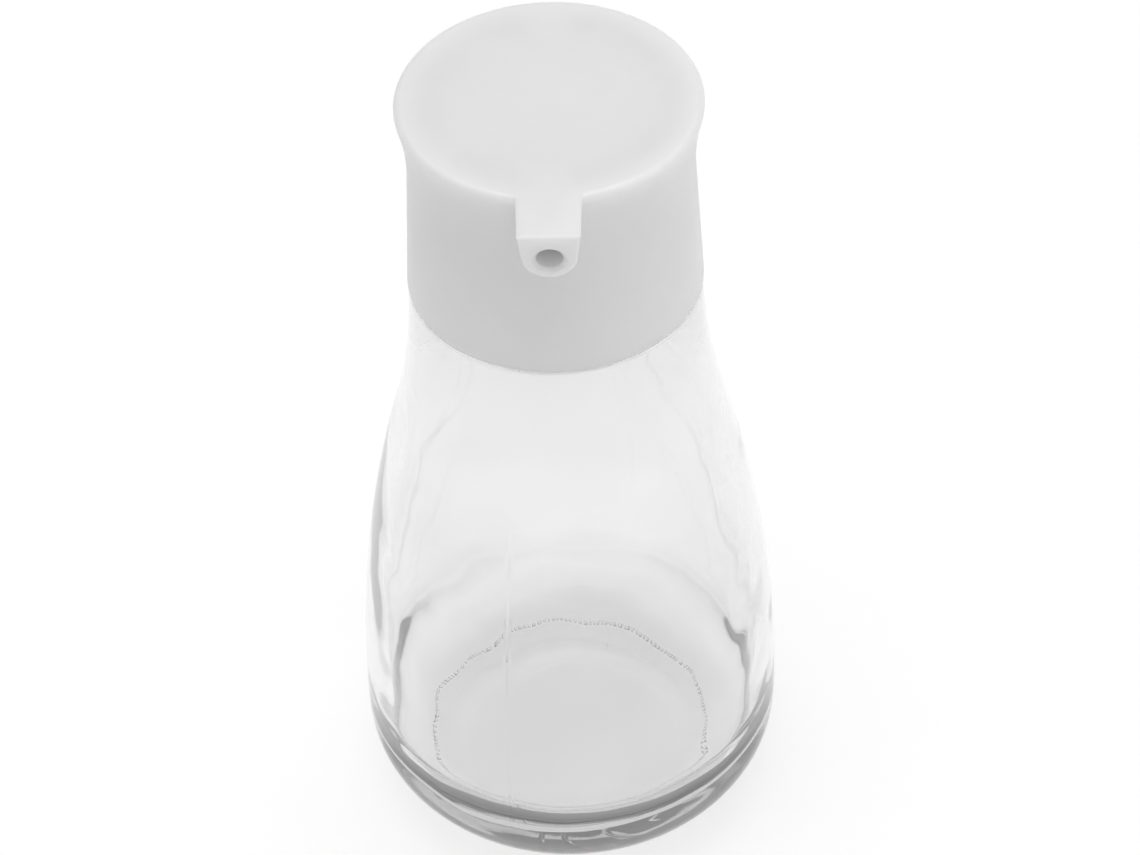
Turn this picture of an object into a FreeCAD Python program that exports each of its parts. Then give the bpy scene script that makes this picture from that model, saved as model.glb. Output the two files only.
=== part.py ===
"""Glass table dispenser for cooking oil: a blown glass bottle under a one-piece pouring cap.

Millimetres, +Z up, origin at the centre of the base. The nozzle points along -Y.
Every size is a cell of the Sizes sheet, and the sketches and features read those cells.
"""
import FreeCAD
import Part

import math
import os
import re

import Sketcher

Vector = FreeCAD.Vector

# alias, value, meaning: lengths in millimetres, angles in degrees
SIZES = [
    ("body_radius", 33.5, "widest radius of the glass"),
    ("belly_height", 18.5, "height of the widest ring"),
    ("shoulder_round", 112.0, "radius of the hollow arc under the ledge"),
    ("heel_round", 14.5, "radius of the heel arc"),
    ("heel_inset", 9.3, "how far the foot's edge stands in from the widest ring"),
    ("foot_width", 2.4, "width of the ring the glass stands on"),
    ("foot_edge", 0.8, "rounding of that ring's outer edge"),
    ("punt_rise", 2.0, "how far the underside domes up inside the ring"),
    ("wall", 3.0, "glass thickness around the belly"),
    ("floor_height", 8.0, "height of the inner floor on the axis"),
    ("floor_crown", 90.0, "radius of the inner floor's crown"),
    ("inner_heel_round", 13.0, "radius between inner floor and inner wall"),
    ("ledge_height", 104.15, "height of the glass ledge under the cap"),
    ("ledge_edge", 0.7, "rounding of the ledge's outer edge"),
    ("mouth_radius", 16.2, "radius of the mouth through the neck"),
    ("inner_shoulder_round", 55.0, "radius of the inner shoulder below the straight mouth"),
    ("neck_wall", 3.0, "glass thickness of the neck"),
    ("lip_edge", 1.2, "rounding of the lip's two edges"),
    ("seat_gap", 0.15, "clearance between ledge and cap rim"),
    ("cap_rise", 34.7, "height of the cap from rim to top"),
    ("neck_gap", 0.65, "clearance between neck and skirt"),
    ("skirt_wall", 1.9, "thickness of the cap's skirt"),
    ("waist_rise", 21.0, "height of the waist above the rim"),
    ("rim_spread", 0.95, "how much wider the skirt is at its rim than at its waist"),
    ("rim_overhang", 0.1, "how far the rim stands out past the ledge"),
    ("rim_edge", 0.3, "rounding of the rim's outer edge"),
    ("disc_spread", 1.7, "how much wider the flared top is than the waist"),
    ("disc_edge", 1.0, "rounding of the top's edge"),
    ("disc_thickness", 2.0, "thickness of the cap's top"),
    ("bite", 0.6, "how deep one feature starts inside the wall it joins"),
    ("lip_gap", 4.75, "room between the lip and the blocks above it"),
    ("plug_gap", 0.1, "clearance between plug sleeve and mouth"),
    ("plug_wall", 1.4, "thickness of the plug sleeve"),
    ("plug_depth", 9.0, "how far the plug sleeve reaches into the mouth"),
    ("bore_drop", 5.2, "depth of the pouring bore's axis below the top"),
    ("bore_radius", 2.0, "radius of the pouring bore"),
    ("bore_flare", 0.65, "chamfer at the mouth of the pouring bore"),
    ("bridge_wall", 1.4, "plastic around the bores between skirt and sleeve"),
    ("vent_radius", 1.1, "radius of the air vent at the back"),
    ("nozzle_overhang", 7.75, "how far the nozzle's tip stands out past the top"),
    ("nozzle_lean", 8.0, "how far the nozzle's face leans back going down"),
    ("nozzle_cheek", 2.68, "plastic beside the bore, at the nozzle's top"),
    ("nozzle_floor", 1.75, "plastic below the bore"),
    ("nozzle_taper", 0.58, "how much the nozzle narrows on each side going down"),
    ("root_growth", 0.2, "how much the nozzle widens on each side to its root"),
    ("nozzle_edge", 0.4, "rounding around the nozzle's face"),
]
SIZE = {alias: value for alias, value, meaning in SIZES}

# Sizes that follow from others, each as a sum of cells
CAP_BOTTOM = "ledge_height + seat_gap"
CAP_TOP = CAP_BOTTOM + " + cap_rise"
CAP_CEILING = CAP_TOP + " - disc_thickness"
BORE_HEIGHT = CAP_TOP + " - bore_drop"
LIP_HEIGHT = BORE_HEIGHT + " - bore_radius - bridge_wall - lip_gap"
PLUG_END = LIP_HEIGHT + " - plug_depth"
FOOT_RADIUS = "body_radius - heel_inset"
NECK_RADIUS = "mouth_radius + neck_wall"
SKIRT_BORE = NECK_RADIUS + " + neck_gap"
WAIST_RADIUS = SKIRT_BORE + " + skirt_wall"
RIM_RADIUS = WAIST_RADIUS + " + rim_spread"
LEDGE_RADIUS = RIM_RADIUS + " - rim_overhang"
DISC_RADIUS = WAIST_RADIUS + " + disc_spread"
NOZZLE_REACH = DISC_RADIUS + " + nozzle_overhang"
PLUG_RADIUS = "mouth_radius - plug_gap"
PLUG_BORE = PLUG_RADIUS + " - plug_wall"
TIP_HALF_WIDTH = "bore_radius + nozzle_cheek"
TIP_DEPTH = "bore_drop + bore_radius + nozzle_floor"
TIP_ROUND = TIP_HALF_WIDTH + " - nozzle_taper"

doc = FreeCAD.newDocument("oil_dispenser")
sheet = doc.addObject("Spreadsheet::Sheet", "Sizes")
for row, (alias, value, meaning) in enumerate(SIZES, start=1):
    sheet.set(f"A{row}", alias)
    sheet.set(f"B{row}", str(value))
    sheet.set(f"C{row}", meaning)
    sheet.setAlias(f"B{row}", alias)
doc.recompute()


# ---- sizes -----------------------------------------------------------------------------

def amount(formula):
    """The value of a sum of size names, such as "mouth_radius - plug_gap"."""
    terms = re.findall(r"([+-]?)\s*([a-z_]+)", formula)
    return sum(-SIZE[name] if sign == "-" else SIZE[name] for sign, name in terms)


def bind(thing, path, formula):
    """Tie a property or a sketch dimension to the cells that a formula names."""
    thing.setExpression(path, re.sub(r"([a-z_]+)", r"Sizes.\1", formula))


# ---- plane geometry for the first guess at a sketch's points ----------------------------

def towards(centre, target, radius):
    """The point at a distance from centre, on the line through target."""
    share = radius / math.dist(centre, target)
    return tuple(c + (t - c) * share for c, t in zip(centre, target))


def leg(longest, other):
    """The third side of a right-angled triangle."""
    return math.sqrt(longest * longest - other * other)


def crossings(centre_a, radius_a, centre_b, radius_b):
    """The two points where two circles cross."""
    gap = math.dist(centre_a, centre_b)
    along = (gap * gap + radius_a * radius_a - radius_b * radius_b) / (2 * gap)
    aside = leg(radius_a, along)
    ux = (centre_b[0] - centre_a[0]) / gap
    uy = (centre_b[1] - centre_a[1]) / gap
    foot = (centre_a[0] + along * ux, centre_a[1] + along * uy)
    return [(foot[0] - side * aside * uy, foot[1] + side * aside * ux) for side in (1, -1)]


def bow_radius(widest, hollow, hollow_radius):
    """Radius of the arc that is upright at its widest point and touches a given circle outside."""
    dx = hollow[0] - widest[0]
    dy = hollow[1] - widest[1]
    return (dx * dx + dy * dy - hollow_radius * hollow_radius) / (2 * (hollow_radius - dx))


# ---- sketching --------------------------------------------------------------------------

def new_body(label):
    body = doc.addObject("PartDesign::Body", label)
    body.Label = label
    body.Placement = FreeCAD.Placement()
    return body


def origin_part(body, role):
    """One of the body's own origin planes or axes."""
    return next(part for part in body.Origin.OriginFeatures if part.Role == role)


def new_sketch(body, name, plane="XZ_Plane"):
    sketch = body.newObject("Sketcher::SketchObject", name)
    sketch.AttachmentSupport = [(origin_part(body, plane), "")]
    sketch.MapMode = "FlatFace"
    return sketch


# A piece of an outline is (geometry number, point number it starts at, point number it ends at).
START = 1
END = 2
CENTRE = 3
H_AXIS = -1
V_AXIS = -2


def line(sketch, start, end):
    shape = Part.LineSegment(Vector(*start, 0), Vector(*end, 0))
    return sketch.addGeometry(shape, False), START, END


def arc(sketch, centre, start, end):
    """The shorter arc from start to end; a sketch stores it anticlockwise."""
    angles = [math.atan2(p[1] - centre[1], p[0] - centre[0]) for p in (start, end)]
    clockwise = (angles[1] - angles[0]) % math.tau > math.pi
    if clockwise:
        angles.reverse()
    circle = Part.Circle(Vector(*centre, 0), Vector(0, 0, 1), math.dist(centre, start))
    number = sketch.addGeometry(Part.ArcOfCircle(circle, *angles), False)
    return (number, END, START) if clockwise else (number, START, END)


def constrain(sketch, kind, *what):
    return sketch.addConstraint(Sketcher.Constraint(kind, *what))


def join(sketch, first, second):
    constrain(sketch, "Coincident", first[0], first[2], second[0], second[1])


def blend(sketch, first, second):
    """Join two pieces of an outline so that one runs smoothly into the other."""
    constrain(sketch, "Tangent", first[0], first[2], second[0], second[1])


def dimension(sketch, kind, what, formula):
    """A driving dimension, bound to the cells that the formula names."""
    number = constrain(sketch, kind, *what, amount(formula))
    name = f"{kind}{number}"
    sketch.renameConstraint(number, name)
    bind(sketch, f"Constraints.{name}", formula)


def place(sketch, piece, point, across=None, up=None):
    """Fix one end of a piece by its distance from the axis and its height."""
    if across:
        dimension(sketch, "DistanceX", (H_AXIS, START, piece[0], point), across)
    if up:
        dimension(sketch, "DistanceY", (H_AXIS, START, piece[0], point), up)


def revolve(body, name, sketch, kind="PartDesign::Revolution"):
    feature = body.newObject(kind, name)
    feature.Profile = sketch
    feature.ReferenceAxis = (sketch, ["V_Axis"])
    feature.Angle = 360
    return feature


# ---- dressing edges ---------------------------------------------------------------------

NEAR = 0.01


def is_ring(edge, radius, height):
    """Whether an edge is the horizontal circle of a given radius and height."""
    if not isinstance(edge.Curve, Part.Circle):
        return False
    return abs(edge.Curve.Radius - radius) < NEAR and abs(edge.Curve.Center.z - height) < NEAR


def edges_of(feature, wanted):
    """Names of a feature's edges that pass a test; the poles on the axis have no curve to test."""
    names = [f"Edge{n}" for n, edge in enumerate(feature.Shape.Edges, start=1)
             if not edge.Degenerated and wanted(edge)]
    if not names:
        raise RuntimeError(f"{feature.Name}: no such edge")
    return names


def round_edges(body, name, wanted, radius):
    base = body.Tip
    doc.recompute()
    feature = body.newObject("PartDesign::Fillet", name)
    feature.Base = (base, edges_of(base, wanted))
    bind(feature, "Radius", radius)
    return feature


def ring(radius, height):
    """A test for the circle whose radius and height two formulas give."""
    return lambda edge: is_ring(edge, amount(radius), amount(height))


# ---- glass bottle -----------------------------------------------------------------------

def sketch_glass(body):
    """Half the section of the bottle: foot, belly, shoulder, neck and the hollow inside."""
    sketch = new_sketch(body, "GlassSection")
    foot_in = (amount(FOOT_RADIUS + " - foot_width"), 0)
    foot_out = (amount(FOOT_RADIUS), 0)
    punt_top = (0, amount("punt_rise"))
    punt_bow = (foot_in[0] ** 2 + punt_top[1] ** 2) / (2 * punt_top[1])
    widest = (amount("body_radius"), amount("belly_height"))
    ledge = (amount(LEDGE_RADIUS), amount("ledge_height"))
    shoulder = (ledge[0] + amount("shoulder_round"), ledge[1])
    belly_radius = bow_radius(widest, shoulder, amount("shoulder_round"))
    inner_radius = belly_radius - amount("wall")
    belly = (widest[0] - belly_radius, widest[1])
    heel = max(crossings(belly, belly_radius - amount("heel_round"), foot_out, amount("heel_round")),
               key=lambda point: point[1])
    lip = amount(LIP_HEIGHT)
    neck = amount(NECK_RADIUS)
    mouth = amount("mouth_radius")
    inner_shoulder = (mouth + amount("inner_shoulder_round"),
                      belly[1] + leg(inner_radius + amount("inner_shoulder_round"),
                                     mouth + amount("inner_shoulder_round") - belly[0]))
    mouth_end = (mouth, inner_shoulder[1])
    floor_top = (0, amount("floor_height"))
    crown = (0, amount("floor_height - floor_crown"))
    inner_heel = max(crossings(belly, inner_radius - amount("inner_heel_round"),
                               crown, amount("floor_crown + inner_heel_round")))
    heel_end = towards(belly, heel, belly_radius)
    belly_end = towards(belly, shoulder, belly_radius)
    inner_belly_top = towards(belly, inner_shoulder, inner_radius)
    inner_belly_low = towards(belly, inner_heel, inner_radius)
    floor_edge = towards(crown, inner_heel, amount("floor_crown"))

    punt = arc(sketch, (0, punt_top[1] - punt_bow), punt_top, foot_in)
    foot = line(sketch, foot_in, foot_out)
    heel_arc = arc(sketch, heel, foot_out, heel_end)
    belly_arc = arc(sketch, belly, heel_end, belly_end)
    shoulder_arc = arc(sketch, shoulder, belly_end, ledge)
    ledge_line = line(sketch, ledge, (neck, ledge[1]))
    neck_line = line(sketch, (neck, ledge[1]), (neck, lip))
    lip_line = line(sketch, (neck, lip), (mouth, lip))
    mouth_line = line(sketch, (mouth, lip), mouth_end)
    inner_shoulder_arc = arc(sketch, inner_shoulder, mouth_end, inner_belly_top)
    inner_belly_arc = arc(sketch, belly, inner_belly_top, inner_belly_low)
    inner_heel_arc = arc(sketch, inner_heel, inner_belly_low, floor_edge)
    floor_arc = arc(sketch, crown, floor_edge, floor_top)
    axis_line = line(sketch, floor_top, punt_top)
    wall_line = line(sketch, (widest[0] - amount("wall"), widest[1]), widest)
    sketch.toggleConstruction(wall_line[0])

    join(sketch, punt, foot)
    join(sketch, foot, heel_arc)
    blend(sketch, heel_arc, belly_arc)
    blend(sketch, belly_arc, shoulder_arc)
    join(sketch, shoulder_arc, ledge_line)
    join(sketch, ledge_line, neck_line)
    join(sketch, neck_line, lip_line)
    join(sketch, lip_line, mouth_line)
    blend(sketch, mouth_line, inner_shoulder_arc)
    blend(sketch, inner_shoulder_arc, inner_belly_arc)
    blend(sketch, inner_belly_arc, inner_heel_arc)
    blend(sketch, inner_heel_arc, floor_arc)
    join(sketch, floor_arc, axis_line)
    join(sketch, axis_line, punt)

    constrain(sketch, "PointOnObject", foot[0], START, H_AXIS)
    constrain(sketch, "PointOnObject", foot[0], END, H_AXIS)
    constrain(sketch, "PointOnObject", axis_line[0], START, V_AXIS)
    constrain(sketch, "PointOnObject", axis_line[0], END, V_AXIS)
    constrain(sketch, "PointOnObject", punt[0], CENTRE, V_AXIS)
    constrain(sketch, "PointOnObject", floor_arc[0], CENTRE, V_AXIS)
    constrain(sketch, "Horizontal", ledge_line[0])
    constrain(sketch, "Vertical", neck_line[0])
    constrain(sketch, "Horizontal", lip_line[0])
    constrain(sketch, "Vertical", mouth_line[0])
    constrain(sketch, "Horizontal", shoulder_arc[0], CENTRE, shoulder_arc[0], shoulder_arc[2])
    constrain(sketch, "Coincident", belly_arc[0], CENTRE, inner_belly_arc[0], CENTRE)
    constrain(sketch, "Horizontal", wall_line[0])
    constrain(sketch, "Horizontal", belly_arc[0], CENTRE, wall_line[0], END)
    constrain(sketch, "PointOnObject", wall_line[0], START, inner_belly_arc[0])
    constrain(sketch, "PointOnObject", wall_line[0], END, belly_arc[0])

    place(sketch, foot, END, across=FOOT_RADIUS)
    dimension(sketch, "DistanceX", (foot[0], START, foot[0], END), "foot_width")
    place(sketch, axis_line, END, up="punt_rise")
    place(sketch, axis_line, START, up="floor_height")
    dimension(sketch, "Radius", (heel_arc[0],), "heel_round")
    place(sketch, wall_line, END, across="body_radius", up="belly_height")
    dimension(sketch, "DistanceX", (wall_line[0], START, wall_line[0], END), "wall")
    dimension(sketch, "Radius", (shoulder_arc[0],), "shoulder_round")
    place(sketch, ledge_line, START, across=LEDGE_RADIUS, up="ledge_height")
    place(sketch, lip_line, START, across=NECK_RADIUS, up=LIP_HEIGHT)
    place(sketch, mouth_line, END, across="mouth_radius")
    dimension(sketch, "Radius", (inner_shoulder_arc[0],), "inner_shoulder_round")
    dimension(sketch, "Radius", (inner_heel_arc[0],), "inner_heel_round")
    dimension(sketch, "Radius", (floor_arc[0],), "floor_crown")
    return sketch


def build_glass():
    body = new_body("glass_bottle")
    revolve(body, "Glass", sketch_glass(body))
    round_edges(body, "FootEdge", lambda edge: is_ring(edge, amount(FOOT_RADIUS), 0), "foot_edge")
    round_edges(body, "LedgeEdge", ring(LEDGE_RADIUS, "ledge_height"), "ledge_edge")
    round_edges(body, "LipOuterEdge", ring(NECK_RADIUS, LIP_HEIGHT), "lip_edge")
    round_edges(body, "LipInnerEdge", ring("mouth_radius", LIP_HEIGHT), "lip_edge")
    return body


# ---- pouring cap ------------------------------------------------------------------------

def sketch_cap(body):
    """Half the section of the cap: waisted skirt, flared top and the plug sleeve."""
    sketch = new_sketch(body, "CapSection")
    bottom = amount(CAP_BOTTOM)
    top = amount(CAP_TOP)
    ceiling = amount(CAP_CEILING)
    rim_out = (amount(RIM_RADIUS), bottom)
    rim_in = (amount(RIM_RADIUS + " - skirt_wall"), bottom)
    waist = (amount(WAIST_RADIUS), amount(CAP_BOTTOM + " + waist_rise"))
    disc = (amount(DISC_RADIUS), top)
    lean = math.atan2(rim_out[0] - waist[0], waist[1] - rim_out[1])
    outward = (math.cos(lean), math.sin(lean))
    reach = (disc[0] - waist[0], disc[1] - waist[1])
    flare_radius = (reach[0] ** 2 + reach[1] ** 2) / (2 * (reach[0] * outward[0] + reach[1] * outward[1]))
    flare = (waist[0] + flare_radius * outward[0], waist[1] + flare_radius * outward[1])
    skirt_bore = amount(SKIRT_BORE)
    plug_out = amount(PLUG_RADIUS)
    plug_in = amount(PLUG_BORE)
    plug_end = amount(PLUG_END)

    corners = [(skirt_bore, ceiling), (plug_out, ceiling), (plug_out, plug_end), (plug_in, plug_end),
               (plug_in, ceiling), (0, ceiling), (0, top), disc]
    taper = line(sketch, rim_out, waist)
    flare_arc = arc(sketch, flare, waist, disc)
    rim_line = line(sketch, rim_in, rim_out)
    inner_taper = line(sketch, (skirt_bore, waist[1]), rim_in)
    inner_wall = line(sketch, (skirt_bore, ceiling), (skirt_bore, waist[1]))
    (ceiling_out, plug_outside, plug_foot, plug_inside, ceiling_in, axis_line, top_line) = [
        line(sketch, start, end) for start, end in zip(corners, corners[1:])]

    blend(sketch, taper, flare_arc)
    constrain(sketch, "Coincident", top_line[0], END, flare_arc[0], flare_arc[2])
    loop = [top_line, axis_line, ceiling_in, plug_inside, plug_foot, plug_outside, ceiling_out]
    for later, earlier in zip(loop, loop[1:]):
        join(sketch, earlier, later)
    constrain(sketch, "Coincident", ceiling_out[0], START, inner_wall[0], START)
    join(sketch, inner_wall, inner_taper)
    join(sketch, inner_taper, rim_line)
    join(sketch, rim_line, taper)
    for level in (rim_line, ceiling_out, plug_foot, ceiling_in, top_line):
        constrain(sketch, "Horizontal", level[0])
    for upright in (inner_wall, plug_outside, plug_inside):
        constrain(sketch, "Vertical", upright[0])
    constrain(sketch, "PointOnObject", axis_line[0], START, V_AXIS)
    constrain(sketch, "PointOnObject", axis_line[0], END, V_AXIS)
    constrain(sketch, "Horizontal", ceiling_out[0], START, ceiling_in[0], END)
    constrain(sketch, "Horizontal", inner_wall[0], END, taper[0], END)

    place(sketch, taper, START, across=RIM_RADIUS, up=CAP_BOTTOM)
    place(sketch, taper, END, across=WAIST_RADIUS, up=CAP_BOTTOM + " + waist_rise")
    dimension(sketch, "DistanceX", (rim_line[0], START, rim_line[0], END), "skirt_wall")
    place(sketch, top_line, END, across=DISC_RADIUS, up=CAP_TOP)
    place(sketch, inner_wall, START, across=SKIRT_BORE, up=CAP_CEILING)
    place(sketch, plug_outside, END, across=PLUG_RADIUS, up=PLUG_END)
    dimension(sketch, "DistanceX", (plug_foot[0], END, plug_foot[0], START), "plug_wall")
    return sketch


def sketch_nozzle(body, name, distance, half_width, depth, end_round, lean=None):
    """A U that hangs from the level of the cap's top, on an upright or leaning plane."""
    sketch = new_sketch(body, name)
    tilt = FreeCAD.Rotation(Vector(1, 0, 0), amount(lean) if lean else 0)
    sketch.AttachmentOffset = FreeCAD.Placement(Vector(0, amount(CAP_TOP), amount(distance)), tilt)
    bind(sketch, "AttachmentOffset.Base.y", CAP_TOP)
    bind(sketch, "AttachmentOffset.Base.z", distance)
    if lean:
        bind(sketch, "AttachmentOffset.Rotation.Angle", lean)
    centre = (0, amount(end_round) - amount(depth))
    corner = (amount(half_width), 0)
    turn = math.atan2(corner[0], -centre[1]) + math.asin(amount(end_round) / math.dist(corner, centre))
    touch = (centre[0] + amount(end_round) * math.sin(turn), centre[1] - amount(end_round) * math.cos(turn))
    mirrored = [(-x, y) for x, y in (corner, touch)]
    top = line(sketch, mirrored[0], corner)
    right = line(sketch, corner, touch)
    lower_right = arc(sketch, centre, touch, (0, -amount(depth)))
    lower_left = arc(sketch, centre, (0, -amount(depth)), mirrored[1])
    left = line(sketch, mirrored[1], mirrored[0])
    join(sketch, top, right)
    blend(sketch, right, lower_right)
    blend(sketch, lower_right, lower_left)
    blend(sketch, lower_left, left)
    join(sketch, left, top)
    constrain(sketch, "Symmetric", top[0], START, top[0], END, H_AXIS, START)
    constrain(sketch, "PointOnObject", top[0], START, H_AXIS)
    constrain(sketch, "PointOnObject", lower_right[0], CENTRE, V_AXIS)
    constrain(sketch, "PointOnObject", lower_right[0], lower_right[2], V_AXIS)
    constrain(sketch, "Equal", lower_right[0], lower_left[0])
    dimension(sketch, "DistanceX", (H_AXIS, START, top[0], END), half_width)
    dimension(sketch, "Radius", (lower_right[0],), end_round)
    dimension(sketch, "DistanceY", (lower_right[0], lower_right[2], H_AXIS, START), depth)
    return sketch


def on_nozzle_face(edge):
    """Whether an edge lies wholly in the leaning plane of the nozzle's face."""
    lean = math.radians(amount("nozzle_lean"))
    corner = Vector(0, -amount(NOZZLE_REACH), amount(CAP_TOP))
    outward = Vector(0, -math.cos(lean), -math.sin(lean))
    middle = edge.valueAt((edge.FirstParameter + edge.LastParameter) / 2)
    points = [vertex.Point for vertex in edge.Vertexes] + [middle]
    return all(abs((point - corner).dot(outward)) < NEAR for point in points)


def add_nozzle(body):
    """The pouring nozzle: U-shaped in section, drafted, its top flush with the disc."""
    root = sketch_nozzle(body, "NozzleRoot", SKIRT_BORE + " + bite", TIP_HALF_WIDTH + " + root_growth",
                         TIP_DEPTH + " + root_growth", TIP_ROUND + " + root_growth")
    tip = sketch_nozzle(body, "NozzleTip", NOZZLE_REACH, TIP_HALF_WIDTH, TIP_DEPTH, TIP_ROUND,
                        "nozzle_lean")
    nozzle = body.newObject("PartDesign::AdditiveLoft", "Nozzle")
    nozzle.Profile = tip
    nozzle.Sections = [root]
    nozzle.Ruled = True
    round_edges(body, "NozzleEdge", on_nozzle_face, "nozzle_edge")


def add_bridges(body):
    """Blocks between skirt and plug sleeve, front and back, that the bores pass through."""
    sketch = new_sketch(body, "BridgePlan", "XY_Plane")
    level = CAP_CEILING + " + bite"
    sketch.AttachmentOffset = FreeCAD.Placement(Vector(0, 0, amount(level)), FreeCAD.Rotation())
    bind(sketch, "AttachmentOffset.Base.z", level)
    half = "bore_radius + bridge_wall"
    near = PLUG_BORE + " + bite"
    far = SKIRT_BORE + " + bite"
    x = amount(half)
    corners = [(-x, -amount(far)), (x, -amount(far)), (x, -amount(near)), (-x, -amount(near))]
    sides = [line(sketch, start, end) for start, end in zip(corners, corners[1:] + corners[:1])]
    for first, second in zip(sides, sides[1:] + sides[:1]):
        join(sketch, first, second)
    constrain(sketch, "Horizontal", sides[2][0])
    constrain(sketch, "Vertical", sides[1][0])
    constrain(sketch, "Vertical", sides[3][0])
    constrain(sketch, "Symmetric", sides[0][0], START, sides[0][0], END, V_AXIS)
    dimension(sketch, "DistanceX", (H_AXIS, START, sides[0][0], END), half)
    dimension(sketch, "DistanceY", (sides[0][0], END, H_AXIS, START), far)
    dimension(sketch, "DistanceY", (sides[2][0], START, H_AXIS, START), near)
    pad = body.newObject("PartDesign::Pad", "FrontBridge")
    pad.Profile = sketch
    pad.Reversed = True
    bind(pad, "Length", "bite + bore_drop - disc_thickness + bore_radius + bridge_wall")
    mirrored = body.newObject("PartDesign::Mirrored", "Bridges")
    mirrored.Originals = [pad]
    mirrored.MirrorPlane = (origin_part(body, "XZ_Plane"), [""])
    body.Tip = mirrored


def cut_bore(body, name, radius, length, forwards):
    """A round bore at the nozzle's height, from the axis out through the front or the back."""
    before = body.Tip
    sketch = new_sketch(body, name + "Circle")
    circle = Part.Circle(Vector(0, amount(BORE_HEIGHT), 0), Vector(0, 0, 1), amount(radius))
    bore = (sketch.addGeometry(circle, False), CENTRE, CENTRE)
    constrain(sketch, "PointOnObject", bore[0], CENTRE, V_AXIS)
    dimension(sketch, "Radius", (bore[0],), radius)
    place(sketch, bore, CENTRE, up=BORE_HEIGHT)
    pocket = body.newObject("PartDesign::Pocket", name)
    pocket.Profile = sketch
    pocket.Reversed = forwards
    bind(pocket, "Length", length)
    doc.recompute()
    if pocket.Shape.Volume > before.Shape.Volume - NEAR:
        raise RuntimeError(f"{name} cuts nothing")
    return pocket


def at_bore_mouth(edge):
    """Whether an edge is the pouring bore's oval in the nozzle's face."""
    return isinstance(edge.Curve, Part.Ellipse) and on_nozzle_face(edge)


def build_cap():
    body = new_body("pouring_cap")
    revolve(body, "Shell", sketch_cap(body))
    round_edges(body, "DiscEdge", ring(DISC_RADIUS, CAP_TOP), "disc_edge")
    round_edges(body, "RimEdge", ring(RIM_RADIUS, CAP_BOTTOM), "rim_edge")
    add_bridges(body)
    add_nozzle(body)
    cut_bore(body, "PouringBore", "bore_radius", NOZZLE_REACH + " + bite", True)
    cut_bore(body, "Vent", "vent_radius", DISC_RADIUS, False)
    base = body.Tip
    flare = body.newObject("PartDesign::Chamfer", "BoreFlare")
    flare.Base = (base, edges_of(base, at_bore_mouth))
    bind(flare, "Size", "bore_flare")
    return body


# ---- build and write --------------------------------------------------------------------

def check_states():
    for thing in doc.Objects:
        if "Invalid" in thing.State or "Error" in thing.State:
            raise RuntimeError(f"{thing.Name}: {thing.State}")


def write_parts(bodies):
    os.makedirs("parts", exist_ok=True)
    for body in bodies:
        shape = body.Shape
        if shape.isNull() or not shape.isValid() or len(shape.Solids) != 1:
            raise RuntimeError(f"{body.Label}: not one valid solid")
        shape.exportStep(f"parts/{body.Label}.step")
        box = shape.optimalBoundingBox()
        print(f"{body.Label}: {shape.Volume / 1000:.2f} cm3, "
              f"x {box.XMin:.2f}..{box.XMax:.2f}, y {box.YMin:.2f}..{box.YMax:.2f}, "
              f"z {box.ZMin:.2f}..{box.ZMax:.2f}")


bodies = [build_glass(), build_cap()]
doc.recompute()
check_states()
write_parts(bodies)
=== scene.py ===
# %% [markdown]
# # A glass oil dispenser, from its section to the studio
# The real object is two pieces: a clear blown glass bottle and a white moulded pouring cap.
# This lesson builds the looks of both around a fixed frame, which is the measured model of the same part.
# Lengths are written in millimetres, as a maker would, and turned into Blender's metres with MM.

import math

import bpy
from mathutils import Matrix, Vector


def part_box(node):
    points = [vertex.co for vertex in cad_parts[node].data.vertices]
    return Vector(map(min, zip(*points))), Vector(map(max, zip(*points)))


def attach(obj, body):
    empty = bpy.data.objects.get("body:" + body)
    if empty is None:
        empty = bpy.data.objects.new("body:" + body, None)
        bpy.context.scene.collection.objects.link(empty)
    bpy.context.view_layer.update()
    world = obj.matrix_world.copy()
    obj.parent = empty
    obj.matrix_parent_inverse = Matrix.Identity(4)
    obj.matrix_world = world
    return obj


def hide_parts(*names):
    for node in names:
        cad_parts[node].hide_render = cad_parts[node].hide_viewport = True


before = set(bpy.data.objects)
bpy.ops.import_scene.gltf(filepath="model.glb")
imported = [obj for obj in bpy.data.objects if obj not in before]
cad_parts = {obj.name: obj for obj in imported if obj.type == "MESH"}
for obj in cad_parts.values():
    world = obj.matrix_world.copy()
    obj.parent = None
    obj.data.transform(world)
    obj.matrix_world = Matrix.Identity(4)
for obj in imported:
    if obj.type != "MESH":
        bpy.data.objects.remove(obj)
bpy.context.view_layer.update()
MM = 0.001

# %% [markdown]
# ## The bottle's section
# A bottle is turned: half its section, swung around the upright axis, gives all of it.
# The section is made of lines and arcs that run smoothly into each other, so each centre can be worked out
# from the circle before it, and no list of points is needed. A point is (distance from axis, height).

# %% Points on lines and arcs
STEP = 1.3


def line_points(start, end):
    """Points along a line, without the last one."""
    count = max(1, round(math.dist(start, end) / STEP))
    return [(start[0] + (end[0] - start[0]) * i / count, start[1] + (end[1] - start[1]) * i / count)
            for i in range(count)]


def arc_points(centre, start, end, least=7):
    """Points along the shorter arc from start to end, without the last one."""
    first = math.atan2(start[1] - centre[1], start[0] - centre[0])
    last = math.atan2(end[1] - centre[1], end[0] - centre[0])
    turn = (last - first + math.pi) % math.tau - math.pi
    radius = math.dist(centre, start)
    count = max(least, round(abs(turn) * radius / STEP))
    return [(centre[0] + radius * math.cos(first + turn * i / count),
             centre[1] + radius * math.sin(first + turn * i / count)) for i in range(count)]


def towards(centre, target, radius):
    """The point at a distance from centre, on the line through target."""
    share = radius / math.dist(centre, target)
    return tuple(c + (t - c) * share for c, t in zip(centre, target))


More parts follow.
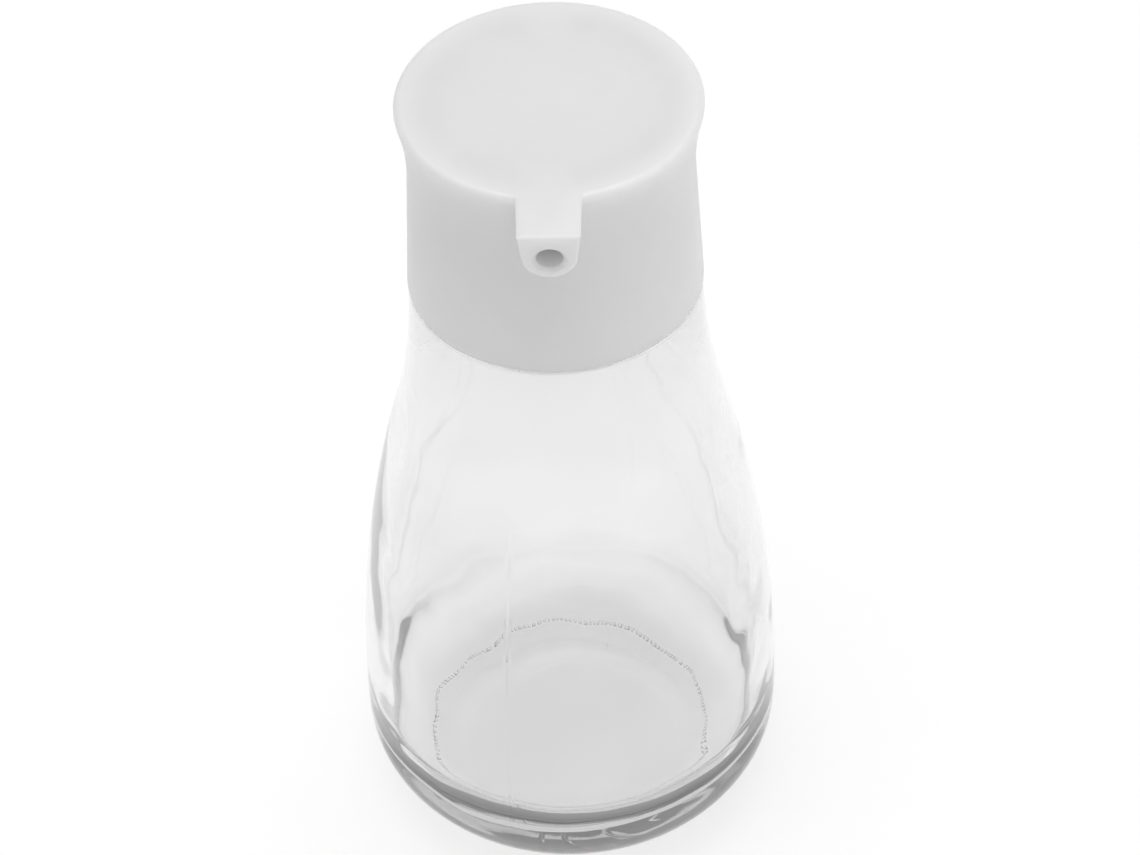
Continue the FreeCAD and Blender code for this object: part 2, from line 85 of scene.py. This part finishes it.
def upper_crossing(centre_a, radius_a, centre_b, radius_b, key):
    """Where two circles cross: of the two points, the one that key ranks highest."""
    gap = math.dist(centre_a, centre_b)
    along = (gap ** 2 + radius_a ** 2 - radius_b ** 2) / (2 * gap)
    aside = math.sqrt(radius_a ** 2 - along ** 2)
    ux = (centre_b[0] - centre_a[0]) / gap
    uy = (centre_b[1] - centre_a[1]) / gap
    foot = (centre_a[0] + along * ux, centre_a[1] + along * uy)
    return max([(foot[0] - s * aside * uy, foot[1] + s * aside * ux) for s in (1, -1)], key=key)


print("points stand about", STEP, "mm apart")

# %% Sizes of the glass
low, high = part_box("glass_bottle")
body_radius = high[0] / MM
lip_height = high[2] / MM
belly_height = 18.5
shoulder_round = 112.0
heel_round = 14.5
foot_radius = 24.2
foot_width = 2.4
foot_edge = 0.8
punt_rise = 2.0
wall = 3.0
floor_height = 8.0
floor_crown = 90.0
inner_heel_round = 13.0
ledge_height = 104.15
ledge_radius = 22.6
ledge_edge = 0.7
neck_radius = 19.2
mouth_radius = 16.2
inner_shoulder_round = 55.0
lip_edge = 1.2
print("glass:", round(2 * body_radius, 2), "mm across,", round(lip_height, 2), "mm tall")

# %% The outline, from the punt out, up over the lip and down inside
shoulder = (ledge_radius + shoulder_round, ledge_height)
dx = shoulder[0] - body_radius
dy = shoulder[1] - belly_height
belly_radius = (dx ** 2 + dy ** 2 - shoulder_round ** 2) / (2 * (shoulder_round - dx))
inner_radius = belly_radius - wall
belly = (body_radius - belly_radius, belly_height)
heel = upper_crossing(belly, belly_radius - heel_round, (foot_radius, 0), heel_round, lambda p: p[1])
foot_turn = (heel[0] + math.sqrt((heel_round - foot_edge) ** 2 - (heel[1] - foot_edge) ** 2), foot_edge)
punt_edge = foot_radius - foot_width
punt_bow = (punt_edge ** 2 + punt_rise ** 2) / (2 * punt_rise)
crown = (0, floor_height - floor_crown)
inner_heel = upper_crossing(belly, inner_radius - inner_heel_round, crown, floor_crown + inner_heel_round,
                            lambda p: p[0])
rise = math.sqrt((inner_radius + inner_shoulder_round) ** 2
                 - (mouth_radius + inner_shoulder_round - belly[0]) ** 2)
inner_shoulder = (mouth_radius + inner_shoulder_round, belly[1] + rise)
heel_end = towards(belly, heel, belly_radius)
belly_end = towards(belly, shoulder, belly_radius)
floor_edge = towards(crown, inner_heel, floor_crown)

outside = (
    arc_points((0, punt_rise - punt_bow), (0, punt_rise), (punt_edge, 0))
    + line_points((punt_edge, 0), (foot_turn[0], 0))
    + arc_points(foot_turn, (foot_turn[0], 0), towards(heel, foot_turn, heel_round))
    + arc_points(heel, towards(heel, foot_turn, heel_round), heel_end)
    + arc_points(belly, heel_end, belly_end)
    + arc_points(shoulder, belly_end, (ledge_radius, ledge_height - ledge_edge))
    + arc_points((ledge_radius - ledge_edge, ledge_height - ledge_edge),
                 (ledge_radius, ledge_height - ledge_edge), (ledge_radius - ledge_edge, ledge_height))
    + line_points((ledge_radius - ledge_edge, ledge_height), (neck_radius, ledge_height))
    + line_points((neck_radius, ledge_height), (neck_radius, lip_height - lip_edge))
    + arc_points((neck_radius - lip_edge, lip_height - lip_edge), (neck_radius, lip_height - lip_edge),
                 (neck_radius - lip_edge, lip_height)))
inside = (
    arc_points((mouth_radius + lip_edge, lip_height - lip_edge), (mouth_radius + lip_edge, lip_height),
               (mouth_radius, lip_height - lip_edge))
    + line_points((mouth_radius, lip_height - lip_edge), (mouth_radius, inner_shoulder[1]))
    + arc_points(inner_shoulder, (mouth_radius, inner_shoulder[1]),
                 towards(belly, inner_shoulder, inner_radius))
    + arc_points(belly, towards(belly, inner_shoulder, inner_radius), towards(belly, inner_heel, inner_radius))
    + arc_points(inner_heel, towards(belly, inner_heel, inner_radius), floor_edge)
    + arc_points(crown, floor_edge, (0, floor_height))
    + [(0, floor_height)])
section = outside + inside
print("section:", len(outside), "points outside and", len(inside), "inside")

# %% [markdown]
# ## Blown glass by Geometry Nodes
# Blown glass is true to its mould outside, while its inside is left to itself and is faintly uneven.
# A Screw modifier could turn the section, but it can't tell inside from outside.
# Here a flat grid is rolled up instead: one direction of the grid walks along the section, the other
# goes once around the axis. A number stored on each section point, 0 outside and 1 inside, then says
# how far the glass may wander there.

# %% Section as a chain of vertices with its looseness
def smooth_step(x):
    x = min(1.0, max(0.0, x))
    return x * x * (3 - 2 * x)


chain = bpy.data.meshes.new("bottle_section")
chain.from_pydata([(r * MM, 0, z * MM) for r, z in section], [(i, i + 1) for i in range(len(section) - 1)], [])
loose = chain.attributes.new("looseness", "FLOAT", "POINT")
for i, (r, z) in enumerate(section):
    below_mouth = smooth_step((inner_shoulder[1] - z) / 12)
    low_down = smooth_step((26 - z) / 14)
    loose.data[i].value = below_mouth * (1 + 1.2 * low_down) if i >= len(outside) else 0.0
section_object = bpy.data.objects.new("bottle_section", chain)
bpy.context.scene.collection.objects.link(section_object)
print("chain:", len(chain.vertices), "vertices")


# %% [markdown]
# Node trees are written out in full here, because a script can be read, compared and run again. Two helpers
# keep that short: one adds a node and links it, the other makes a group with named inputs and outputs.

# %% Helpers for node trees
def add_node(tree, kind, inputs=None, **settings):
    """Adds a node, sets its properties, and fills or links its inputs by name or number."""
    node = tree.nodes.new(kind)
    for name, value in settings.items():
        setattr(node, name, value)
    for name, value in (inputs or {}).items():
        if isinstance(value, bpy.types.NodeSocket):
            tree.links.new(value, node.inputs[name])
        else:
            node.inputs[name].default_value = value
    return node


def new_tree(name, kind, inputs, outputs):
    """A node group with named inputs (name, type, value) and outputs (name, type)."""
    tree = bpy.data.node_groups.new(name, kind)
    for label, socket, value in inputs:
        item = tree.interface.new_socket(label, in_out="INPUT", socket_type=socket)
        if value is not None:
            item.default_value = value
    for label, socket in outputs:
        tree.interface.new_socket(label, in_out="OUTPUT", socket_type=socket)
    return tree, tree.nodes.new("NodeGroupInput").outputs, tree.nodes.new("NodeGroupOutput").inputs


print("helpers ready")

# %% The tree: roll up a grid, let the inside wander, add the stippled ring
tree, given, result = new_tree("Blown bottle", "GeometryNodeTree", [
    ("Section", "NodeSocketGeometry", None),
    ("Steps around", "NodeSocketInt", 256),
    ("Inside waves", "NodeSocketFloat", 0.0011),
    ("Wave size", "NodeSocketFloat", 42.0),
    ("Stipple count", "NodeSocketInt", 180),
    ("Stipple ring radius", "NodeSocketFloat", 0.02495),
    ("Stipple height", "NodeSocketFloat", 0.00034),
    ("Stipple size", "NodeSocketFloat", 0.00027),
    ("Seed", "NodeSocketInt", 4),
    ("Glass", "NodeSocketMaterial", None),
], [("Bottle", "NodeSocketGeometry")])


def math_node(operation, a, b=0.0):
    return add_node(tree, "ShaderNodeMath", {0: a, 1: b}, operation=operation).outputs[0]


size = add_node(tree, "GeometryNodeAttributeDomainSize", {"Geometry": given["Section"]}, component="MESH")
around = math_node("ADD", given["Steps around"], 1.0)
grid = add_node(tree, "GeometryNodeMeshGrid", {"Size X": 1.0, "Size Y": 1.0, "Vertices X": around,
                                               "Vertices Y": size.outputs["Point Count"]})
place = add_node(tree, "ShaderNodeSeparateXYZ", {0: add_node(tree, "GeometryNodeInputPosition").outputs[0]})
angle = math_node("MULTIPLY", math_node("ADD", place.outputs["X"], 0.5), math.tau)
last = math_node("SUBTRACT", size.outputs["Point Count"], 1.0)
row = math_node("ROUND", math_node("MULTIPLY", math_node("ADD", place.outputs["Y"], 0.5), last))
here = add_node(tree, "GeometryNodeSampleIndex", {
    "Geometry": given["Section"], "Value": add_node(tree, "GeometryNodeInputPosition").outputs[0],
    "Index": row}, data_type="FLOAT_VECTOR", domain="POINT")
looseness = add_node(tree, "GeometryNodeInputNamedAttribute", {"Name": "looseness"}, data_type="FLOAT")
freedom = add_node(tree, "GeometryNodeSampleIndex", {
    "Geometry": given["Section"], "Value": looseness.outputs["Attribute"], "Index": row},
    data_type="FLOAT", domain="POINT")
out = add_node(tree, "ShaderNodeSeparateXYZ", {0: here.outputs[0]})
rolled = add_node(tree, "ShaderNodeCombineXYZ", {
    "X": math_node("MULTIPLY", out.outputs["X"], math_node("COSINE", angle)),
    "Y": math_node("MULTIPLY", out.outputs["X"], math_node("SINE", angle)),
    "Z": out.outputs["Z"]})
kept = add_node(tree, "GeometryNodeStoreNamedAttribute", {
    "Geometry": grid.outputs["Mesh"], "Name": "freedom", "Value": freedom.outputs[0]},
    data_type="FLOAT", domain="POINT")
turned = add_node(tree, "GeometryNodeSetPosition", {"Geometry": kept.outputs[0], "Position": rolled.outputs[0]})
closed = add_node(tree, "GeometryNodeMergeByDistance", {"Geometry": turned.outputs[0], "Distance": 1e-6})

print("rolled grid:", len(tree.nodes), "nodes")

# %% [markdown]
# The inside of blown glass follows air, not a mould, so it is faintly wavy. A sculpted or displaced mesh could
# show that. A noise field that pushes each point along its normal does it with one number to change, and the
# stored freedom keeps the moulded outside and the fitted neck exactly true.

# %% Waves on the inside
spot = add_node(tree, "GeometryNodeInputPosition").outputs[0]
noise = add_node(tree, "ShaderNodeTexNoise", {
    "Vector": spot, "W": given["Seed"], "Scale": given["Wave size"], "Detail": 2.0, "Roughness": 0.45},
    noise_dimensions="4D")
swing = math_node("MULTIPLY", math_node("SUBTRACT", noise.outputs["Fac"], 0.5), given["Inside waves"])
free = add_node(tree, "GeometryNodeInputNamedAttribute", {"Name": "freedom"}, data_type="FLOAT")
shift = add_node(tree, "ShaderNodeVectorMath", {
    0: add_node(tree, "GeometryNodeInputNormal").outputs[0],
    "Scale": math_node("MULTIPLY", swing, free.outputs["Attribute"])}, operation="SCALE")
waved = add_node(tree, "GeometryNodeSetPosition", {"Geometry": closed.outputs[0], "Offset": shift.outputs[0]})
print("with waves:", len(tree.nodes), "nodes")

# %% [markdown]
# Moulded bottles have a ring of small bumps near the foot, so that hot glass touches less of what it is set
# down on. They repeat, so one dot is placed on every point of a circle. A boolean joins them to the glass,
# because dots that only overlapped it would bend the light twice.

# %% Stippled ring under the heel, joined to the glass
circle = add_node(tree, "GeometryNodeMeshCircle", {
    "Vertices": given["Stipple count"], "Radius": given["Stipple ring radius"]})
dot = add_node(tree, "GeometryNodeMeshIcoSphere", {"Radius": given["Stipple size"], "Subdivisions": 2})
lifted = add_node(tree, "GeometryNodeSetPosition", {
    "Geometry": circle.outputs[0],
    "Offset": add_node(tree, "ShaderNodeCombineXYZ", {"Z": given["Stipple height"]}).outputs[0]})
uneven = add_node(tree, "FunctionNodeRandomValue", {2: 0.75, 3: 1.2, "Seed": given["Seed"]}, data_type="FLOAT")
dots = add_node(tree, "GeometryNodeInstanceOnPoints", {
    "Points": lifted.outputs[0], "Instance": dot.outputs["Mesh"], "Scale": uneven.outputs[1]})
real = add_node(tree, "GeometryNodeRealizeInstances", {"Geometry": dots.outputs[0]})
union = add_node(tree, "GeometryNodeMeshBoolean", operation="UNION", solver="MANIFOLD")
tree.links.new(waved.outputs[0], union.inputs["Mesh 2"])
tree.links.new(real.outputs[0], union.inputs["Mesh 2"])
soft = add_node(tree, "GeometryNodeSetShadeSmooth", {"Geometry": union.outputs["Mesh"]})
whole = add_node(tree, "GeometryNodeRealizeInstances", {"Geometry": soft.outputs[0]})
dressed = add_node(tree, "GeometryNodeSetMaterial", {"Geometry": whole.outputs[0], "Material": given["Glass"]})
tree.links.new(dressed.outputs[0], result["Bottle"])
print("tree:", len(tree.nodes), "nodes")

# %% [markdown]
# ## Finishes
# Neither finish is one flat colour. The glass carries its two mould seams, a little orange-peel and
# faint handling marks. The cap is satin polypropylene, with fine mould texture. Both use the same
# fine grain, so that is a group, built once and given its own values in each material.

# %% The shared grain
grain_tree, grain_in, grain_out = new_tree("Fine grain", "ShaderNodeTree", [
    ("Scale", "NodeSocketFloat", 800.0),
    ("Detail", "NodeSocketFloat", 3.0),
    ("Low", "NodeSocketFloat", 0.0),
    ("High", "NodeSocketFloat", 1.0),
], [("Value", "NodeSocketFloat")])
where = add_node(grain_tree, "ShaderNodeTexCoord")
speck = add_node(grain_tree, "ShaderNodeTexNoise", {
    "Vector": where.outputs["Object"], "Scale": grain_in["Scale"], "Detail": grain_in["Detail"],
    "Roughness": 0.55})
span = add_node(grain_tree, "ShaderNodeMapRange", {
    "Value": speck.outputs["Fac"], "From Min": 0.3, "From Max": 0.7,
    "To Min": grain_in["Low"], "To Max": grain_in["High"]})
grain_tree.links.new(span.outputs["Result"], grain_out["Value"])


def grain(material_tree, scale, low_value, high_value, detail=3.0):
    return add_node(material_tree, "ShaderNodeGroup", node_tree=grain_tree, inputs={
        "Scale": scale, "Detail": detail, "Low": low_value, "High": high_value}).outputs[0]


def new_material(name):
    material = bpy.data.materials.new(name)
    material.use_nodes = True
    return material, material.node_tree, material.node_tree.nodes["Principled BSDF"]


print("grain group ready")

# %% [markdown]
# Clean glass is perfectly smooth except for faint handling smudges, so only the peaks of the grain make
# it dull. One coarse pattern serves colour and dullness alike, because light meets glass many times and
# each pattern is worked out again at every meeting.

# %% Clear glass: colour and smudges
GLASS_IOR = 1.5
SMUDGES_ABOVE = 0.72
SMUDGE_ROUGHNESS = 0.02
GLASS_TONES = (0.975, 0.975, 0.975, 1), (0.995, 0.995, 0.995, 1)
glass, t, bsdf = new_material("clear_glass_finish")
bsdf.inputs["Transmission Weight"].default_value = 1.0
bsdf.inputs["IOR"].default_value = GLASS_IOR
haze = grain(t, 70.0, 0.0, 1.0, detail=0.0)
smudge = add_node(t, "ShaderNodeMapRange", {
    "Value": haze, "From Min": SMUDGES_ABOVE, "To Max": SMUDGE_ROUGHNESS}).outputs["Result"]
t.links.new(smudge, bsdf.inputs["Roughness"])
tone = add_node(t, "ShaderNodeMix", {0: haze, 6: GLASS_TONES[0], 7: GLASS_TONES[1]}, data_type="RGBA")
t.links.new(tone.outputs[2], bsdf.inputs["Base Color"])
print("glass colour:", len(t.nodes), "nodes")

# %% [markdown]
# The two halves of a bottle mould leave a fine line down each side. It could be a ridge in the mesh, but it is
# about as narrow as one face of the mesh, so it would look ragged. A band around an upright plane through the
# axis, given to Bump, draws both.

# %% Clear glass: two mould seams
SEAM_TURN = math.radians(-107.5)
SEAM_HALF_WIDTH = 0.35 * MM
SEAM_RELIEF = 0.08 * MM
across_seam = (-math.sin(SEAM_TURN), math.cos(SEAM_TURN), 0)
where = add_node(t, "ShaderNodeTexCoord").outputs["Object"]
across = add_node(t, "ShaderNodeVectorMath", {0: where, 1: across_seam}, operation="DOT_PRODUCT").outputs["Value"]
off = add_node(t, "ShaderNodeMath", {0: across}, operation="ABSOLUTE").outputs[0]
ridge = add_node(t, "ShaderNodeMapRange", {"Value": off, "From Min": 0.0, "From Max": SEAM_HALF_WIDTH,
                                           "To Min": 1.0, "To Max": 0.0},
                 interpolation_type="SMOOTHSTEP").outputs["Result"]
orange_peel = grain(t, 120.0, 0.0, 0.12, detail=0.0)
height = add_node(t, "ShaderNodeMath", {0: ridge, 1: orange_peel}, operation="ADD").outputs[0]
bump = add_node(t, "ShaderNodeBump", {"Strength": 0.4, "Distance": SEAM_RELIEF, "Height": height})
t.links.new(bump.outputs[0], bsdf.inputs["Normal"])
print("seams at", round(math.degrees(SEAM_TURN), 1), "degrees and opposite")

# %% [markdown]
# Light in a thick heel is mirrored from wall to wall many times before it gets out. A renderer gives up
# after a few turns and returns black, where real glass would go on to a pale grey. So where a ray has been
# mirrored more than twice, the glass glows here with a faint white: a painted glow that stands in for that
# grey, which only the deepest bands of the heel show.
#
# Glass takes a little light over each millimetre, which shows where the path through it is long: in the heel,
# the base and the edges. That is absorption, and it sits inside the solid. It is set stronger here than in
# real clear glass, so that the edges still read against a white floor. Shadows pass through the glass, because
# otherwise it would block the lamps like a wall.

# %% Clear glass: painted glow for trapped light, shadows and absorption
TRAPPED_LIGHT = 0.20
MIRRORED_TIMES = 2.5
ABSORPTION_COLOUR = (0.8, 0.8, 0.8, 1)
ABSORPTION_DENSITY = 85.0
light = add_node(t, "ShaderNodeLightPath").outputs
mirrored = add_node(t, "ShaderNodeMath", {0: light["Glossy Depth"], 1: MIRRORED_TIMES},
                    operation="GREATER_THAN").outputs[0]
# painted glow: the glass emits white wherever a ray has been mirrored more than twice
painted_trapped_glow = add_node(t, "ShaderNodeMath", {0: mirrored, 1: TRAPPED_LIGHT}, operation="MULTIPLY").outputs[0]
bsdf.inputs["Emission Color"].default_value = (1, 1, 1, 1)
t.links.new(painted_trapped_glow, bsdf.inputs["Emission Strength"])
clear = add_node(t, "ShaderNodeBsdfTransparent")
passing = add_node(t, "ShaderNodeMixShader", {0: light["Is Shadow Ray"],
                                              1: bsdf.outputs[0], 2: clear.outputs[0]})
surface = t.nodes["Material Output"].inputs
t.links.new(passing.outputs[0], surface["Surface"])
depth = add_node(t, "ShaderNodeVolumeAbsorption", {"Color": ABSORPTION_COLOUR, "Density": ABSORPTION_DENSITY})
t.links.new(depth.outputs[0], surface["Volume"])
print("glass:", len(t.nodes), "nodes")

# %% [markdown]
# The cap is satin polypropylene. A flat white would look like paper, because this plastic lets light a little
# way in. Subsurface light gives it that depth, over a few millimetres: with more it looks like wax.

# %% White satin plastic
PLASTIC_TONES = (0.835, 0.835, 0.835, 1), (0.86, 0.86, 0.86, 1)
PLASTIC_DEPTH = 3.5 * MM
PLASTIC_RELIEF = 0.04 * MM
plastic, t, bsdf = new_material("white_plastic_finish")
tone = add_node(t, "ShaderNodeMix", {0: grain(t, 60.0, 0.0, 1.0), 6: PLASTIC_TONES[0], 7: PLASTIC_TONES[1]},
                data_type="RGBA")
t.links.new(tone.outputs[2], bsdf.inputs["Base Color"])
t.links.new(grain(t, 500.0, 0.30, 0.40), bsdf.inputs["Roughness"])
bsdf.inputs["IOR"].default_value = 1.49
bsdf.inputs["Subsurface Weight"].default_value = 0.9
bsdf.inputs["Subsurface Radius"].default_value = (1, 1, 1)
bsdf.inputs["Subsurface Scale"].default_value = PLASTIC_DEPTH
mould_texture = grain(t, 1500.0, 0.0, 1.0)
bump = add_node(t, "ShaderNodeBump", {"Strength": 0.08, "Distance": PLASTIC_RELIEF, "Height": mould_texture})
t.links.new(bump.outputs[0], bsdf.inputs["Normal"])
print("plastic:", len(t.nodes), "nodes")

# %% [markdown]
# The tree is only a recipe until a modifier runs it. The result is kept as a plain mesh and the modifier's
# object is removed, so that the kept mesh is exactly what is seen. An input is set by its socket's
# identifier, since two sockets may share a name.

# %% Make the bottle
modifier = section_object.modifiers.new("Blown bottle", "NODES")
modifier.node_group = tree
sockets = {item.name: item.identifier for item in tree.interface.items_tree if item.in_out == "INPUT"}
modifier[sockets["Glass"]] = glass
modifier[sockets["Steps around"]] = 256
ready = section_object.evaluated_get(bpy.context.evaluated_depsgraph_get())
bottle_mesh = bpy.data.meshes.new_from_object(ready)
bottle_mesh.name = "blown_bottle"
bottle = bpy.data.objects.new("blown_bottle", bottle_mesh)
bpy.context.scene.collection.objects.link(bottle)
bpy.data.objects.remove(section_object)
print("bottle:", len(bottle_mesh.polygons), "faces")
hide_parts("glass_bottle")
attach(bottle, "root")

# %% [markdown]
# The cap's shape is already right in the frame, with its nozzle, bore and vent. Building it again could only
# move it, so it keeps its mesh and gets the plastic.

# %% Dress the cap
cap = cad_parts["pouring_cap"]
for spot in cap.material_slots:
    spot.material = plastic
print("cap:", len(cap.data.polygons), "faces")

# %% [markdown]
# ## The studio
# Clear glass shows what stands around it, so the floor is the same pale white to the camera, to gloss and to
# light that comes through the glass. The object's own shadow stays on the floor close by. Further off the
# floor turns into plain background, so no horizon shows from a low camera. Light that bounces straight off
# the floor onto the object sees only its plain colour, and not the glow. Gloss, and light that comes through
# the glass, do see the glow.

# %% A plain pale floor
FLOOR_DROP = 0.05 * MM
FLOOR_COLOUR = 0.9
NEAR_COLOUR = 0.46       # as the camera sees it close by: this colour, lit, and the glow make white
NEAR_GLOW = 0.62
SHADOW_REACH = 70 * MM   # the shadow reaches to here, shown at about half its depth under the glow
PLAIN_FROM = 340 * MM    # and there is only background beyond this
bpy.ops.mesh.primitive_circle_add(vertices=96, radius=3.0, fill_type="NGON", location=(0, 0, -FLOOR_DROP))
floor = bpy.context.object
floor.name = "floor"
pale, t, bsdf = new_material("pale_floor")
bsdf.inputs["Roughness"].default_value = 0.9
bsdf.inputs["Specular IOR Level"].default_value = 0.0
bsdf.inputs["Emission Color"].default_value = (1, 1, 1, 1)
spot = add_node(t, "ShaderNodeTexCoord").outputs["Object"]


def combine(operation, a, b):
    return add_node(t, "ShaderNodeMath", {0: a, 1: b}, operation=operation).outputs[0]


path = add_node(t, "ShaderNodeLightPath").outputs
shown = combine("MAXIMUM", path["Is Camera Ray"], combine("MAXIMUM", path["Is Transmission Ray"],
                                                         path["Is Glossy Ray"]))
reach = add_node(t, "ShaderNodeVectorMath", {0: spot}, operation="LENGTH").outputs["Value"]
away = add_node(t, "ShaderNodeMapRange", {"Value": reach, "From Min": SHADOW_REACH, "From Max": PLAIN_FROM},
                interpolation_type="SMOOTHSTEP").outputs["Result"]
glow = add_node(t, "ShaderNodeMapRange", {"Value": away, "To Min": NEAR_GLOW, "To Max": 1.0}).outputs["Result"]
t.links.new(combine("MULTIPLY", shown, glow), bsdf.inputs["Emission Strength"])
seen_base = combine("MULTIPLY", combine("SUBTRACT", 1.0, away), NEAR_COLOUR)
lit = combine("ADD", combine("MULTIPLY", shown, seen_base),
              combine("MULTIPLY", combine("SUBTRACT", 1.0, shown), FLOOR_COLOUR))
t.links.new(lit, bsdf.inputs["Base Color"])
floor.data.materials.append(pale)
print("floor:", len(t.nodes), "nodes")

# %% [markdown]
# The world is a soft grey that lights the object from all round. The camera sees it as white. Gloss and light
# through the glass see it as white low down, behind the object, and as the grey that it is higher up.

# %% World
WORLD_LIGHT = 0.44
WHITE_BELOW = 0.15       # these two are heights on a globe of radius 1
GREY_ABOVE = 0.45
world = bpy.data.worlds.new("studio")
bpy.context.scene.world = world
world.use_nodes = True
w = world.node_tree
background = w.nodes["Background"]
path = add_node(w, "ShaderNodeLightPath")
up = add_node(w, "ShaderNodeSeparateXYZ", {0: add_node(w, "ShaderNodeTexCoord").outputs["Generated"]})
low_sky = add_node(w, "ShaderNodeMapRange", {"Value": up.outputs["Z"], "From Min": WHITE_BELOW,
                                             "From Max": GREY_ABOVE, "To Min": 1.0, "To Max": 0.0},
                   interpolation_type="SMOOTHSTEP")
in_glass = add_node(w, "ShaderNodeMath", {0: path.outputs["Is Transmission Ray"],
                                          1: path.outputs["Is Glossy Ray"]}, operation="MAXIMUM").outputs[0]
behind = add_node(w, "ShaderNodeMath", {0: in_glass, 1: low_sky.outputs["Result"]},
                  operation="MULTIPLY").outputs[0]
white = add_node(w, "ShaderNodeMath", {0: behind, 1: path.outputs["Is Camera Ray"]},
                 operation="MAXIMUM").outputs[0]
level = add_node(w, "ShaderNodeMapRange", {"Value": white, "To Min": WORLD_LIGHT, "To Max": 1.0})
w.links.new(level.outputs[0], background.inputs["Strength"])
background.inputs["Color"].default_value = (1, 1, 1, 1)
print("world:", len(w.nodes), "nodes")

# %% [markdown]
# Four large panels make plain, soft light: one overhead for the top, a stronger one on the right than on the
# left to round the cap, and a weak one in front. Each is hidden from light that comes through the glass, where
# its hard edge would look like a cut-out. Its gloss on glass and plastic stays.

# %% Lamps
def soft_lamp(name, place, aim, width, watts):
    lamp = bpy.data.lights.new(name, "AREA")
    lamp.shape = "RECTANGLE"
    lamp.size, lamp.size_y = width
    lamp.energy = watts
    holder = bpy.data.objects.new(name, lamp)
    holder.visible_transmission = False
    holder.location = place
    holder.rotation_euler = (Vector(aim) - Vector(place)).to_track_quat("-Z", "Y").to_euler()
    bpy.context.scene.collection.objects.link(holder)
    print(name, watts, "W")


soft_lamp("overhead", (0, 0.1, 1.1), (0, 0, 0.07), (0.9, 0.9), 4.6)
soft_lamp("left", (-0.9, -0.3, 0.6), (0, 0, 0.08), (0.5, 0.9), 0.75)
soft_lamp("right", (0.9, -0.2, 0.6), (0, 0, 0.08), (0.5, 0.9), 1.8)
soft_lamp("front", (0.1, -1.0, 0.5), (0, 0, 0.1), (0.6, 0.6), 0.75)

# %% [markdown]
# A long lens from well above shows the round top and the nozzle together with little perspective. The view is
# built from its own three directions: level first, then rolled, then turned about the upright axis.

# %% Camera
LENS = 157.9
TILT = math.radians(43.763)
ROLL = math.radians(-2.16)
TURN = math.radians(1.4)
camera = bpy.data.cameras.new("camera")
camera.sensor_width = 36.0
camera.lens = LENS
camera.clip_start = 0.01
holder = bpy.data.objects.new("camera", camera)
bpy.context.scene.collection.objects.link(holder)
level_view = Matrix(((1, 0, 0), (0, -math.sin(TILT), -math.cos(TILT)), (0, math.cos(TILT), -math.sin(TILT))))
rolled_view = Matrix.Rotation(ROLL, 3, "Z") @ level_view
right, down, ahead = rolled_view
axes = Matrix((right, -down, -ahead)).transposed()
turn = Matrix.Rotation(TURN, 4, "Z")
holder.matrix_world = turn @ Matrix.Translation(Vector((1.306, -568.221, 615.495)) * MM) @ axes.to_4x4()
bpy.context.scene.camera = holder
bpy.context.scene.view_settings.view_transform = "Standard"
print("camera at", [round(v, 3) for v in holder.matrix_world.translation])
